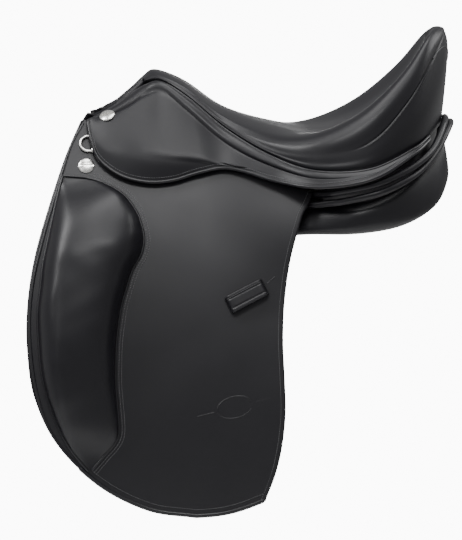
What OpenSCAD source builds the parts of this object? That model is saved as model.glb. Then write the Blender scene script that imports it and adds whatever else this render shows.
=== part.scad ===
// English dressage saddle, near side towards -Y, pommel towards -X, +Z up, millimetres.
// The origin is on the centre plane, level with the top of the back that the panels rest on,
// straight below the deepest part of the seat.
// A guide curve is a list of stations [x, w, z], where w is the distance out from the centre plane.

/* [Leather] */
// Thickness of the flap leather
flap_t = 4; // [3:0.5:4.5]
// Thickness of the skirt leather
skirt_t = 3.5; // [3:0.5:4]
// Thickness of the seat leather
seat_t = 2.5; // [2:0.5:3]
// Thickness of the sweat flap leather
sweat_t = 3; // [2:0.5:3.5]
// Thickness of the girth billets
billet_t = 4; // [3:0.5:4]

/* [Flaps] */
// Half-width of the saddle at the foot of the flaps
foot_w = 212; // [208:1:214]
// Height at which the flaps hang plumb
foot_z = -370; // [-376:2:-360]
// Extra half-width of the flap at its rear top corner
flare = 14; // [10:1:16]
// Height of the knee block above the flap
block_h = 40; // [25:1:42]

/* [Stirrup bars] */
// Clear gap behind the bar, for the stirrup leather
bar_gap = 8; // [7:0.5:8.5]
// Length of the bar that the leather can hang on
bar_l = 62; // [50:1:66]
// Diameter of the pin that the safety catch turns on
catch_pin_d = 3; // [2.5:0.5:3.5]

/* [Girth billets] */
// Width of a billet
billet_w = 27; // [24:1:30]
// Length of a billet below its pivot
billet_l = 355; // [330:5:365]
// Number of buckle holes in each billet
hole_count = 9; // [5:1:10]
// Spacing of the buckle holes
hole_pitch = 22; // [20:1:24]
// Diameter of a buckle hole
hole_d = 5; // [4:0.5:6]

/* [Hidden] */

leather = [0.13, 0.13, 0.14];
padding = [0.3, 0.3, 0.31];
steel = [0.75, 0.75, 0.77];
wood = [0.72, 0.55, 0.35];
webbing = [0.85, 0.8, 0.68];

// Side profile of the flap: half-width at its foot, less a parabola that closes it upwards.
flap_k = (foot_w - 62) / pow(125 - foot_z, 2);

// ---------- guide curves of the seat, front to rear ----------
centre_line = [[-176, 0, 172], [-160, 0, 181], [-123, 0, 166], [-75, 0, 134], [-15, 0, 113],
    [45, 0, 100], [105, 0, 118], [155, 0, 158], [182, 0, 200], [193, 0, 221]];
mid_line = [[-175, 12, 172], [-159, 15, 180], [-121, 22, 165], [-74, 31, 132], [-15, 46, 111],
    [44, 58, 100], [103, 66, 121], [153, 57, 163], [183, 38, 207], [197, 0, 232]];
crest_line = [[-174, 22, 171], [-156, 28, 176], [-118, 42, 160], [-72, 58, 126], [-15, 88, 103],
    [40, 112, 103], [98, 128, 128], [148, 110, 171], [182, 70, 212], [207, 0, 232]];
side_line = [[-172, 28, 170], [-152, 34, 174], [-116, 48, 156], [-70, 66, 118], [-14, 103, 91],
    [43, 136, 84], [108, 150, 96], [160, 112, 152], [195, 58, 196], [213, 0, 206]];
edge_line = [[-171, 31, 168], [-151, 38, 170], [-117, 53, 150], [-66, 74, 110], [-10, 112, 81],
    [45, 147, 67], [110, 152, 71], [163, 114, 92], [192, 64, 111], [206, 0, 122]];
seat_net = [centre_line, mid_line, crest_line, side_line, edge_line];

// ---------- guide curves of the skirt, front corner to rear tip ----------
skirt_top = [[-232, 57, 127], [-222, 52, 131], [-205, 45, 141], [-188, 39, 153], [-171, 34, 163],
    [-151, 41, 167], [-116, 56, 147], [-65, 77, 107], [-9, 115, 78], [46, 150, 64],
    [111, 155, 68], [164, 117, 89], [188, 80, 103]];
skirt_crease = [[-236, 62, 125], [-226, 63, 125], [-209, 62, 131], [-190, 60, 141], [-170, 54, 154],
    [-148, 57, 157], [-110, 74, 128], [-64, 92, 92], [-8, 123, 67], [47, 156, 56],
    [113, 160, 64], [165, 119, 87], [188, 81, 101]];
skirt_fold = [[-239, 66, 124], [-231, 72, 119], [-218, 77, 115], [-198, 84, 111], [-171, 93, 103],
    [-141, 100, 94], [-102, 104, 82], [-62, 108, 68]];
skirt_belly = [[-241, 70, 124], [-234, 83, 108], [-224, 94, 93], [-199, 101, 84], [-169, 108, 76],
    [-138, 110, 73], [-101, 107, 70], [-62, 108, 66]];
skirt_hem = [[-242, 73, 123], [-237, 90, 98], [-227, 101, 75], [-201, 110, 56], [-168, 114, 48],
    [-135, 113, 50], [-100, 109, 60], [-62, 109, 65], [-6, 133, 51], [49, 162, 46],
    [115, 165, 58], [166, 122, 85], [188, 83, 99]];
// The lower edge of the fixed part of the skirt: the fold, then the hem behind the wing.
band_edge = [for (i = [0:12]) i < 7 ? skirt_fold[i] : skirt_hem[i]];

// ---------- outlines in the plane of the flap, [x, z] ----------
flap_front = [[-275, 54], [-296, -20], [-309, -80], [-311, -140], [-302, -205], [-279, -263],
    [-227, -316], [-165, -348], [-106, -357]];
flap_rear = [[23, 5], [9, -46], [2, -95], [0, -142], [2, -190], [3, -230], [-1, -270],
    [-9, -305], [-21, -337]];
flap_crown = [[-247, 112], [-215, 103], [-150, 90], [-90, 72], [-30, 52], [37, 35]];
flap_shoulder = [[-264, 82], [-228, 75], [-150, 62], [-90, 50], [-30, 36], [31, 21]];
flap_fold = [[-275, 57], [-238, 51], [-150, 37], [-90, 27], [-30, 17], [25, 8]];
block_front = [[-268, 48], [-283, 10], [-296, -40], [-304, -100], [-305, -160], [-297, -215],
    [-275, -260], [-246, -292]];
block_rear = [[-234, 42], [-196, 18], [-174, -28], [-190, -75], [-200, -130], [-204, -190],
    [-201, -245], [-226, -286]];
block_rise = [0.12, 0.55, 0.9, 1, 0.95, 0.8, 0.55, 0.15];
sweat_front = [[-253, 112], [-270, 72], [-290, 10], [-305, -45], [-313, -100], [-313, -155],
    [-303, -215], [-272, -274], [-215, -318]];
sweat_rear = [[20, 36], [10, 10], [0, -30], [-8, -75], [-12, -125], [-14, -175],
    [-20, -225], [-36, -272], [-70, -312]];

// ---------- corner curves of the panel, front to rear, [x, w, z] ----------
panel_inner_top = [[-238, 38, 108], [-192, 30, 116], [-130, 30, 98], [-60, 31, 72], [25, 32, 48],
    [90, 32, 44], [148, 32, 54], [188, 30, 78], [207, 28, 96]];
panel_outer_top = [[-244, 44, 104], [-195, 50, 92], [-130, 54, 84], [-60, 80, 54], [25, 108, 22],
    [90, 146, 20], [148, 128, 40], [186, 84, 68], [208, 48, 92]];
panel_outer_low = [[-256, 62, 62], [-215, 100, 4], [-150, 120, -32], [-60, 123, -35], [25, 128, -20],
    [90, 144, -18], [152, 128, -10], [198, 92, 14], [214, 54, 50]];
panel_inner_low = [[-250, 52, 60], [-205, 64, 26], [-140, 56, 10], [-60, 46, 0], [25, 40, -5],
    [90, 38, -4], [148, 36, 8], [188, 34, 34], [208, 32, 66]];

// ---------- rolls round the top of the panel, near side to the centre ----------
upper_roll = [[44, 127, 34], [58, 140, 36], [72, 150, 39], [113, 156, 48], [143, 141, 58],
    [172, 112, 72], [192, 80, 88], [206, 38, 111], [211, 0, 117]];
lower_roll = [[39, 128, 23], [58, 142, 25], [78, 152, 28], [120, 155, 38], [152, 136, 50],
    [177, 106, 64], [197, 72, 83], [213, 36, 104], [218, 0, 109]];
head_roll = [[-240, 59, 119], [-226, 44, 126], [-205, 37, 141], [-186, 22, 157], [-180, 0, 165]];

// ---------- stirrup bar, girth and dee places ----------
bar_at = [-145, 76];
bar_t = 6;
bar_h = 10;
bar_foot = 12;
plate_t = 2.5;
bar_seat = -8;
catch_l = 15;
billet_top = 14;
billet_sink = flap_t + 2.5;
front_billet_x = -150;
rear_billet_x = -75;
dee_at = [-236, 92];
dee_wire = 3.5;
dee_size = [19, 24];
keeper_at = [-43, -90];
keeper_turn = 27;
keeper_size = [52, 19];
keeper_gap = 8;
stud_r = 10;

// ---------- curves and skins ----------
function cubic(a, b, c, d, t) = 0.5 * (2 * b + (c - a) * t + (2 * a - 5 * b + 4 * c - d) * t * t
    + (3 * b - a - 3 * c + d) * t * t * t);
// A curve that ends on the centre plane carries on as its own mirror image, so it ends square.
function end_point(p, i) = let (last = len(p) - 1, before = p[last - 1])
    i < 0 ? 2 * p[0] - p[1]
    : i <= last ? p[i]
    : is_list(before) && len(before) == 3 && p[last][1] == 0 ? [before[0], -before[1], before[2]]
    : 2 * p[last] - before;
// Point on the smooth curve through p at station u.
function along(p, u) = let (i = max(0, min(floor(u), len(p) - 2)))
    cubic(end_point(p, i - 1), p[i], p[i + 1], end_point(p, i + 2), u - i);
function steps(a, b, n) = [for (i = [0:n]) a + (b - a) * i / n];
function unit(v) = v / norm(v);
function near(p) = [p[0], -p[1], p[2]];
function far(p) = [p[0], p[1], p[2]];
// Point on the skin through several guide curves, at station u and across at v.
function net_point(net, u, v) = along([for (row = net) along(row, u)], v);
function net_normal(net, u, v) = let (e = 0.05, last = len(net[0]) - 1, s = min(u, last - 2 * e))
    unit(cross(net_point(net, s + e, v) - net_point(net, s - e, v),
        net_point(net, s, v + e) - net_point(net, s, v - e)));
// Point of the skin sunk by d towards the inside.
function sunk(net, u, v, d) = net_point(net, u, v) - net_normal(net, u, v) * d;
function smooth(t) = let (s = max(0, min(1, t))) s * s * (3 - 2 * s);
// Half-width of the flap's outer face.
function flap_w(x, z) = foot_w - flap_k * pow(z - foot_z, 2)
    + flare * smooth((x + 100) / 130) * smooth((z + 120) / 140);
function flap_slope(z) = atan(2 * flap_k * (z - foot_z));
function on_flap_point(p, d = 0) = [p[0], -(flap_w(p[0], p[1]) - d), p[1]];
// The sweat flap lies deeper at the top, to leave room for the tree's points.
function sweat_depth(z) = 13.5 + 10 * smooth(z / 55);

// ---------- solids from grids of points ----------
function two(a, b, c, d, flip) = flip ? [[a, b, c], [a, c, d]] : [[c, b, a], [d, c, a]];
function kept(keep, i, j) = i >= 0 && j >= 0 && i < len(keep) && j < len(keep[0]) && keep[i][j];
// Closed plate between two grids of the same size. keep says which cells are there.
module plate(outer, inner, keep = undef, flip = false, open_end = false) {
    m = len(outer) - 1;
    n = len(outer[0]) - 1;
    k = keep == undef ? [for (i = [0:m - 1]) [for (j = [0:n - 1]) true]] : keep;
    low = (m + 1) * (n + 1);
    function at(i, j) = i * (n + 1) + j;
    function wall(a, b) = two(a, a + low, b + low, b, !flip);
    faces = [for (i = [0:m - 1], j = [0:n - 1]) if (k[i][j]) each concat(
        two(at(i, j), at(i + 1, j), at(i + 1, j + 1), at(i, j + 1), !flip),
        two(low + at(i, j), low + at(i + 1, j), low + at(i + 1, j + 1), low + at(i, j + 1), flip),
        kept(k, i - 1, j) ? [] : wall(at(i, j + 1), at(i, j)),
        kept(k, i + 1, j) || (open_end && i == m - 1) ? [] : wall(at(i + 1, j), at(i + 1, j + 1)),
        kept(k, i, j - 1) ? [] : wall(at(i, j), at(i + 1, j)),
        kept(k, i, j + 1) ? [] : wall(at(i + 1, j + 1), at(i, j + 1)))];
    polyhedron([for (g = [outer, inner], row = g, p = row) p], faces);
}

// Closed solid through rings of points, with a cap at each end.
module loft(rings) {
    m = len(rings);
    n = len(rings[0]);
    function mean(r) = [for (i = [0:n - 1]) 1] * r / n;
    points = concat([for (r = rings, p = r) p], [mean(rings[0]), mean(rings[m - 1])]);
    sides = [for (i = [0:m - 2], j = [0:n - 1]) each
        two(i * n + j, i * n + (j + 1) % n, (i + 1) * n + (j + 1) % n, (i + 1) * n + j, true)];
    caps = [for (j = [0:n - 1]) each
        [[m * n, (j + 1) % n, j], [m * n + 1, (m - 1) * n + j, (m - 1) * n + (j + 1) % n]]];
    polyhedron(points, concat(sides, caps));
}

// Round tube of radius r along a list of points.
module tube(path, r, sides = 8) {
    last = len(path) - 1;
    loft([for (i = [0:last]) let (
        t = unit(path[min(i + 1, last)] - path[max(i - 1, 0)]),
        a = unit(cross(t, [0, 0, 1])), b = cross(t, a))
        [for (k = [0:sides - 1]) path[i] + r * (cos(k * 360 / sides) * a - sin(k * 360 / sides) * b)]]);
}

// Leather sheet over a net of guide curves on the near side.
module net_sheet(net, us, vs, from, to, keep = undef) {
    plate([for (u = us) [for (v = vs) near(sunk(net, u, v, from))]],
        [for (u = us) [for (v = vs) near(sunk(net, u, v, to))]], keep);
}

// Sheet that crosses the centre plane, near edge to far edge. An open_end closes on that plane.
module seat_sheet(us, vs, from, to, keep = undef, open_end = false) {
    ways = concat([for (i = [len(vs) - 1:-1:1]) [vs[i], -1]], [for (v = vs) [v, 1]]);
    last = us[len(us) - 1];
    function point(u, way, d) = let (p = sunk(seat_net, u, way[0], d))
        [p[0], (way[0] == 0 || (open_end && u == last)) ? 0 : way[1] * p[1], p[2]];
    plate([for (u = us) [for (way = ways) point(u, way, from)]],
        [for (u = us) [for (way = ways) point(u, way, to)]], keep, true, open_end);
}

// Sheet on the flap's profile, between a front and a rear outline, from one depth to another.
module flap_sheet(front, rear, rows, cols, from, to) {
    last = len(front) - 1;
    function point(i, j) = along(front, last * i / rows) * (1 - j / cols)
        + along(rear, last * i / rows) * j / cols;
    plate([for (i = [0:rows]) [for (j = [0:cols]) on_flap_point(point(i, j), from)]],
        [for (i = [0:rows]) [for (j = [0:cols]) on_flap_point(point(i, j), to)]], undef, true);
}

// Puts children on the flap's outer face, with local Z outwards. Local Y points up on the near side.
module on_flap(p, out = 0, side = -1) {
    translate([p[0], side * flap_w(p[0], p[1]), p[1]]) rotate([side * (flap_slope(p[1]) - 90), 0, 0])
        translate([0, 0, out]) children();
}

// Turns local Z to direction n at point p.
module facing(p, n) {
    translate(p) rotate(acos(n[2]), cross([0, 0, 1], n)) children();
}

module far_side() { mirror([0, 1, 0]) children(); }
module both() { children(); far_side() children(); }

// ---------- tree and its ironwork ----------
// Middle of the arch's thickness, from the crown down to the tree point.
arch_front = [[-170, 0, 147], [-176, 22, 142], [-190, 41, 129], [-203, 56, 112], [-212, 70, 88],
    [-218, 86, 58], [-220, 100, 30]];
arch_rear = [[-124, 0, 139], [-122, 22, 135], [-116, 41, 125], [-105, 56, 112], [-100, 70, 88],
    [-100, 86, 58], [-165, 100, 30]];
function arch_grid(n, u1, reach, shift) = [for (u = steps(-u1, u1, n)) [for (v = [0:reach])
    let (a = along(arch_front, abs(u)), b = along(arch_rear, abs(u)), p = a * (1 - v / 3) + b * v / 3,
        t = unit(along(arch_front, abs(u) + 0.1) - along(arch_front, max(0, abs(u) - 0.1)) + [0, 0.001, 0]),
        out = unit([0, -t[2], t[1]]))
    let (q = p + shift * out) [q[0], u < 0 ? -q[1] : q[1], q[2]]]];
module arch_plate(n, u1, reach, from, to) {
    plate(arch_grid(n, u1, reach, to), arch_grid(n, u1, reach, from));
}
module rail() {
    net_sheet(seat_net, steps(2, 6.5, 9), [0.9, 1.3, 1.6], 17.6, 26);
}
module tree() color(wood) {
    arch_plate(16, 6, 3, -4, 4);
    both() rail();
    seat_sheet(steps(6, 7, 2), [0, 0.45, 0.9, 1.3], 17.6, 26);
}
module head_plate() color(steel) arch_plate(8, 3, 2, 4.3, 6.3);
module gullet_plate() color(steel) arch_plate(10, 3.75, 3, -6.3, -4.3);
module spring() color(steel) net_sheet(seat_net, steps(2.5, 6.5, 8), [0.9, 1.3], 26.4, 28);

module stirrup_bar() color(steel) on_flap(bar_at) {
    front = -bar_l / 2 - bar_foot;
    top = bar_seat + plate_t + bar_gap;
    translate([front, -bar_h / 2, bar_seat]) cube([bar_l + bar_foot, bar_h, plate_t]);
    translate([front, -bar_h / 2, bar_seat]) cube([bar_foot, bar_h, top + bar_t - bar_seat]);
    difference() {
        translate([front, -bar_h / 2, top]) cube([bar_l + bar_foot - 2, bar_h, bar_t]);
        translate([bar_l / 2 - 9.5, -bar_h, top + 1.8]) cube([20, 2 * bar_h, 2.4]);
        translate([bar_l / 2 - 5, 0, top - 1]) cylinder(d = catch_pin_d, h = bar_t + 2, $fn = 48);
    }
}
module catch_pin() color(steel) on_flap(bar_at, bar_seat + plate_t + bar_gap)
    translate([bar_l / 2 - 5, 0, 0.1]) cylinder(d = catch_pin_d - 0.1, h = bar_t - 0.2, $fn = 48);
module catch() color(steel) on_flap(bar_at, bar_seat + plate_t + bar_gap + 2)
    translate([bar_l / 2 - 5, 0, 0]) difference() {
        union() {
            cylinder(r = 4, h = 2, $fn = 48);
            translate([0, -4, 0]) cube([catch_l, 8, 2]);
            translate([catch_l, 0, 0]) cylinder(r = 4, h = 2, $fn = 48);
        }
        translate([0, 0, -1]) cylinder(d = catch_pin_d + 0.1, h = 4, $fn = 48);
    }
module rivet() cylinder(r = 3.2, h = 1.6, $fn = 32);
module tree_rivets() color(steel) both() {
    on_flap(bar_at) for (x = [-24, 26]) translate([x, 0, bar_seat + plate_t + 0.2]) rivet();
    for (u = [1, 2.2]) facing(near(arch_top(u)), near(arch_out(u))) translate([0, 0, 6.8]) rivet();
}
function arch_top(u) = (along(arch_front, u) + along(arch_rear, u)) / 2;
function arch_out(u) = let (t = along(arch_front, u + 0.1) - along(arch_front, u - 0.1))
    unit([0, -t[2], t[1]]);

// ---------- seat ----------
web_keep = [for (i = [0:9]) [for (j = [0:7]) (i % 4 == 1) || j == 2 || j == 5]];
module seat_webs() color(webbing)
    seat_sheet(steps(2, 7, 10), [0, 0.45, 0.9, 1.3, 1.6], 14.6, 16.2, web_keep);
module seat_foam() color(padding) seat_sheet(steps(1, 7, 12), [0, 0.45, 0.9, 1.3, 1.6], 3.5, 14);
module seat_cover() color(leather)
    seat_sheet(steps(0, 9, 18), [0, 0.45, 0.9, 1.3, 1.7, 2, 2.4, 2.96], 0, seat_t, undef, true);
module seat_facing() color(leather)
    net_sheet(seat_net, steps(0, 8.98, 18), [3.04, 3.5, 4], 0, seat_t);
module pommel_roll() color(leather) {
    half = [for (u = steps(0, 4, 9)) along(head_roll, u)];
    tube(concat([for (p = half) near(p)], [for (i = [8:-1:0]) far(half[i])]), 4.5);
}

// ---------- skirts, flaps and panels, near side ----------
module skirt_band() color(leather)
    net_sheet([skirt_top, skirt_crease, band_edge], steps(0, 12, 18), [0, 0.9, 2], 0.4, skirt_t);
module skirt() color(leather)
    net_sheet([skirt_fold, skirt_belly, skirt_hem], steps(0, 6, 10), [0.42, 1, 2], 0.4, skirt_t);
module flap_top() {
    n = 10;
    rows = [flap_crown, flap_shoulder, flap_fold];
    function point(i, j) = along([for (r = rows) along(r, 5 * i / n)], j);
    color(leather) difference() {
        plate([for (i = [0:n]) [for (j = [0:2]) on_flap_point(point(i, j))]],
            [for (i = [0:n]) [for (j = [0:2]) on_flap_point(point(i, j), flap_t)]]);
        on_flap(bar_at, -20) translate([-bar_l / 2 - bar_foot - 4, -13, 0])
            cube([bar_l + bar_foot + 26, 26, 40]);
    }
}
module flap() color(leather) flap_sheet(flap_front, flap_rear, 14, 8, 0, flap_t);
module knee_block() {
    across = [0, 0.14, 0.45, 0.8, 1];
    bulge = [0.04, 0.8, 1, 0.85, 0.04];
    rows = 12;
    function point(i, j) = along(block_front, 7 * i / rows) * (1 - across[j])
        + along(block_rear, 7 * i / rows) * across[j];
    function rise(i, j) = 0.5 + block_h * bulge[j] * along(block_rise, 7 * i / rows);
    color(padding) plate([for (i = [0:rows]) [for (j = [0:4]) on_flap_point(point(i, j), -rise(i, j))]],
        [for (i = [0:rows]) [for (j = [0:4]) on_flap_point(point(i, j), -0.3)]], undef, true);
}
module keeper() color(leather) on_flap(keeper_at, 1.6) rotate(keeper_turn) {
    l = keeper_size[0];
    w = keeper_size[1];
    rise = keeper_gap + 2.5;
    difference() {
        translate([-l / 2, -w / 2, 0]) cube([l, w, rise]);
        translate([-l / 2 + 3, -w, -1]) cube([l - 6, 2 * w, keeper_gap + 1]);
    }
}
module sweat_flap() {
    rows = 12;
    function point(i, j) = along(sweat_front, 8 * i / rows) * (1 - j / 6)
        + along(sweat_rear, 8 * i / rows) * j / 6;
    function sheet(d) = [for (i = [0:rows]) [for (j = [0:6])
        let (p = point(i, j)) on_flap_point(p, sweat_depth(p[1]) + d)]];
    color(leather) plate(sheet(0), sheet(sweat_t), undef, true);
}
module panel() {
    corners = [panel_inner_top, panel_outer_top, panel_outer_low, panel_inner_low];
    puff = 5;
    function ring(u) = let (c = [for (k = corners) near(along(k, u))], m = (c[0] + c[1] + c[2] + c[3]) / 4)
        [for (k = [0:3]) each let (a = c[k], b = c[(k + 1) % 4], mid = (a + b) / 2)
            [a + unit(m - a) * 3, mid + unit(mid - m) * (k == 1 ? 1 : k == 3 ? 0 : puff)]];
    color(padding) loft([for (u = steps(0, 8, 14)) ring(u)]);
}
module panel_facing() color(leather) {
    outer = [for (u = steps(-1, 1, 8)) let (a = abs(u), s = sign(u))
        [for (x = [-168, -150, -128]) [x - 50 * a * a, s * 29 * a, 124 - 12 * a * a]]];
    plate(outer, [for (row = outer) [for (p = row) p - [0, 0, 3]]], undef, false);
}
module roll(path, r) color(leather) {
    last = len(path) - 1;
    half = [for (u = steps(0, last, 14)) along(path, u)];
    tube(concat([for (p = half) near(p)], [for (i = [13:-1:0]) far(half[i])]), r);
}

// ---------- girth straps ----------
function strap_point(x, z, d) = [x, -(flap_w(x, z) - d), z];
module strap(x, top, length, d, t) {
    rows = 10;
    zs = steps(top, top - length, rows);
    // The foot of a billet is cut to a point.
    function half(i) = i == rows ? billet_w * 0.22 : billet_w / 2;
    function face(depth) = [for (i = [0:rows])
        [for (s = [-1, 0, 1]) strap_point(x + s * half(i), zs[i], depth)]];
    plate(face(d), face(d + t), undef, true);
}
module billet(x) color(leather) difference() {
    strap(x, billet_top, billet_l, billet_sink, billet_t);
    for (i = [0:hole_count - 1]) on_flap([x, billet_top - billet_l + 40 + i * hole_pitch], -20)
        cylinder(d = hole_d, h = 20, $fn = 32);
}
module girth_webs() {
    zs = [48, 30, billet_top + 3];
    function web(x, d) = [for (z = zs) [for (s = [-1, 1]) strap_point(x + s * 13, z, d)]];
    color(webbing) for (x = [front_billet_x, rear_billet_x])
        plate(web(x, billet_sink), web(x, billet_sink + 1.6), undef, true);
}

// ---------- studs and dees ----------
module stud() color(steel) difference() {
    rotate_extrude($fn = 64) polygon(concat([[0, 0], [stud_r, 0]],
        [for (a = [0:6:48]) [stud_r * cos(a * 1.875), 0.8 + 2.6 * sin(a * 1.875)]]));
    translate([-stud_r, -1, 1.6]) cube([2 * stud_r, 2, 3]);
}
pommel_stud_uv = [1.55, 1.15];
module pommel_studs() both() {
    net = [skirt_top, skirt_crease, band_edge];
    p = net_point(net, pommel_stud_uv[0], pommel_stud_uv[1]);
    facing(near(p), near(net_normal(net, pommel_stud_uv[0], pommel_stud_uv[1])))
        translate([0, 0, 0.3]) stud();
}
module flap_studs() both() on_flap([-244, 66], 0.3) stud();
// Ring lying on the flap, with its straight bar at the rear.
module dee(side) color(steel) on_flap(dee_at, dee_wire / 2 + 0.8, side) {
    r = dee_wire / 2;
    half = dee_size[1] / 2 - r;
    reach = dee_size[0] - 2 * r;
    rotate([90, 0, 0]) cylinder(r = r, h = 2 * half, center = true, $fn = 32);
    for (s = [-1, 1]) {
        translate([0, s * half, 0]) sphere(r, $fn = 32);
        translate([-reach + half, s * half, 0]) rotate([0, 90, 0])
            cylinder(r = r, h = reach - half, $fn = 32);
    }
    translate([half - reach, 0, 0]) rotate([0, 0, 90]) rotate_extrude(angle = 180, $fn = 64)
        translate([half, 0]) circle(r, $fn = 32);
}
module dee_chape() color(leather) on_flap(dee_at, 0.4) difference() {
    translate([-3.2, -6, 0]) cube([22, 12, dee_wire + 1.2]);
    translate([0, 0, dee_wire / 2 + 0.4]) rotate([90, 0, 0])
        cylinder(r = dee_wire / 2 + 0.1, h = 40, center = true, $fn = 32);
}

tree();
head_plate();
gullet_plate();
spring();  // spring_left
far_side() spring();  // spring_right
stirrup_bar();  // stirrup_bar_left
far_side() stirrup_bar();  // stirrup_bar_right
catch_pin();  // catch_pin_left
far_side() catch_pin();  // catch_pin_right
tree_rivets();
seat_webs();
girth_webs();  // girth_webs_left
far_side() girth_webs();  // girth_webs_right
seat_foam();
seat_cover();
seat_facing();  // seat_facing_left
far_side() seat_facing();  // seat_facing_right
pommel_roll();
skirt_band();  // skirt_band_left
far_side() skirt_band();  // skirt_band_right
flap_top();  // flap_top_left
far_side() flap_top();  // flap_top_right
sweat_flap();  // sweat_flap_left
far_side() sweat_flap();  // sweat_flap_right
panel();  // panel_left
far_side() panel();  // panel_right
panel_facing();
roll(upper_roll, 4.5);  // welt_upper
roll(lower_roll, 4);  // welt_lower
pommel_studs();
flap_studs();
dee_chape();  // dee_chape_left
far_side() dee_chape();  // dee_chape_right
flap();  // flap_left
far_side() flap();  // flap_right
knee_block();  // knee_block_left
far_side() knee_block();  // knee_block_right
keeper();  // keeper_left
far_side() keeper();  // keeper_right
skirt();  // skirt_left
far_side() skirt();  // skirt_right
billet(front_billet_x);  // front_billet_left
far_side() billet(front_billet_x);  // front_billet_right
billet(rear_billet_x);  // rear_billet_left
far_side() billet(rear_billet_x);  // rear_billet_right
dee(-1);  // dee_left
dee(1);  // dee_right
catch();  // catch_left
far_side() catch();  // catch_right
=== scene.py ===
"""Black English dressage saddle: the looks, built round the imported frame.

Guide curves follow those of the CAD model, in places a little closer to the photo. Their stations are
[x, w, z] in millimetres, where w is the distance out from the centre plane. side is -1 for the near
(left) side, which faces -Y, and 1 for the off side.
"""
import math

import bmesh
import bpy
import numpy as np
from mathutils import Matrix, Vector


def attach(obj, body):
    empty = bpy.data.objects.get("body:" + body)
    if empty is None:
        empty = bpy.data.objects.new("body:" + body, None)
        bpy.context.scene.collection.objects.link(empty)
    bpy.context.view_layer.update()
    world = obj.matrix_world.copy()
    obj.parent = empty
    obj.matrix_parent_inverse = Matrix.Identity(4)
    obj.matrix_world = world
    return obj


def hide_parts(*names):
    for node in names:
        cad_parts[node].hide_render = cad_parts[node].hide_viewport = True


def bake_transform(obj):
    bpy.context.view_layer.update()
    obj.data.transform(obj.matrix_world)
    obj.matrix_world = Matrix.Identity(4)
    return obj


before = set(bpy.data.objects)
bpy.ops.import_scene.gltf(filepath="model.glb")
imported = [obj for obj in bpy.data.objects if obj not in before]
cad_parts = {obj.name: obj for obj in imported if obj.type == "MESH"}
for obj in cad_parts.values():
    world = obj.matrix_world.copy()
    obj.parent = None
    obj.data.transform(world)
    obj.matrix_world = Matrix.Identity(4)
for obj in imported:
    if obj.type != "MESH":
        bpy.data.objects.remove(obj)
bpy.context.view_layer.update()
MM = 0.001
SIDES = {"left": -1, "right": 1}

# ---------------------------------------------------------------- sizes, in millimetres
FLAP_T = 4.0
SKIRT_T = 3.5
SKIRT_STITCH_IN = 5.2
SEAT_T = 2.5
SWEAT_T = 3.0
# Half-widths of the flap's outer face at two heights, and how much it widens at its upper rear.
FOOT_W = 212.0
FOOT_Z = -370.0
HEAD_W = 62.0
HEAD_Z = 125.0
FLARE = 14.0
BLOCK_H = 40.0
# Spacing of the points along tubes and outlines.
STEP = 2.5
# Along one thread: share of its half length, rise and radius as shares of the thread's radius.
THREAD_RINGS = [(-1, -0.35, 0.35), (-0.55, 0.15, 0.95), (0.55, 0.15, 0.95), (1, -0.35, 0.35)]
# A direction that no tube runs along: its rings are turned by it.
TUBE_SIDEWAYS = [0.05, 1.0, 0.3]
# Material slots of every leather piece: its own leather, the thread and the rolled edge.
OWN, SEWN, ROLLED = 0, 1, 2

# ---------------------------------------------------------------- guide curves of the seat
CENTRE_LINE = [[-176, 0, 172], [-160, 0, 181], [-123, 0, 166], [-75, 0, 134], [-15, 0, 114],
    [45, 0, 104], [105, 0, 119], [153, 0, 158], [177, 0, 200], [184, 0, 227]]
MID_LINE = [[-175, 12, 172], [-159, 15, 180], [-121, 22, 165], [-74, 31, 132], [-15, 46, 113],
    [44, 60, 105], [103, 64, 124], [152, 46, 166], [180, 28, 210], [190, 0, 232]]
CREST_LINE = [[-174, 22, 171], [-156, 28, 176], [-118, 42, 160], [-72, 58, 126], [-15, 88, 106],
    [40, 115, 108], [99, 112, 135], [150, 84, 180], [182, 48, 222], [196.5, 0, 235.3]]
SHOULDER_LINE = [[-173, 26, 170], [-154, 32, 174], [-117, 47, 156], [-71, 65, 121], [-14, 104, 97],
    [42, 136, 98], [102, 134, 122], [154, 101, 170], [187, 59, 214], [203.5, 0, 235]]
SIDE_LINE = [[-172, 29, 169], [-152, 35, 172], [-116, 51, 153], [-69, 70, 117], [-13, 108.5, 89],
    [43, 142.5, 83], [108, 140.5, 98], [160, 107, 150], [191, 62, 198], [209, 0, 229.5]]
FACE_LINE = [[-172, 30, 168.5], [-151, 37, 171], [-117, 52, 151.5], [-68, 72, 113], [-12, 110.5, 85],
    [45, 145, 74], [111, 144, 84], [165, 112, 122], [197, 64, 158], [213, 0, 202]]
EDGE_LINE = [[-171, 31, 168], [-151, 38, 170], [-117, 53, 150], [-66, 74, 110], [-10, 112, 81],
    [45, 146.5, 67], [110, 146.5, 71], [163, 112, 92], [192, 64, 111], [206, 0, 122]]
# The leather is drawn down behind the skirt and the rolls.
TUCK_LINE = [[x - 6 * (x > 180), max(0, w - 7), z - 14] for x, w, z in EDGE_LINE]
BACK_LINE = [[x - 10 * (x > 180), max(0, w - 13 - 18 * (x < 100)), z - 46] for x, w, z in EDGE_LINE]
SEAT_NET = [CENTRE_LINE, MID_LINE, CREST_LINE, SHOULDER_LINE, SIDE_LINE, FACE_LINE, EDGE_LINE, TUCK_LINE]

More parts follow.
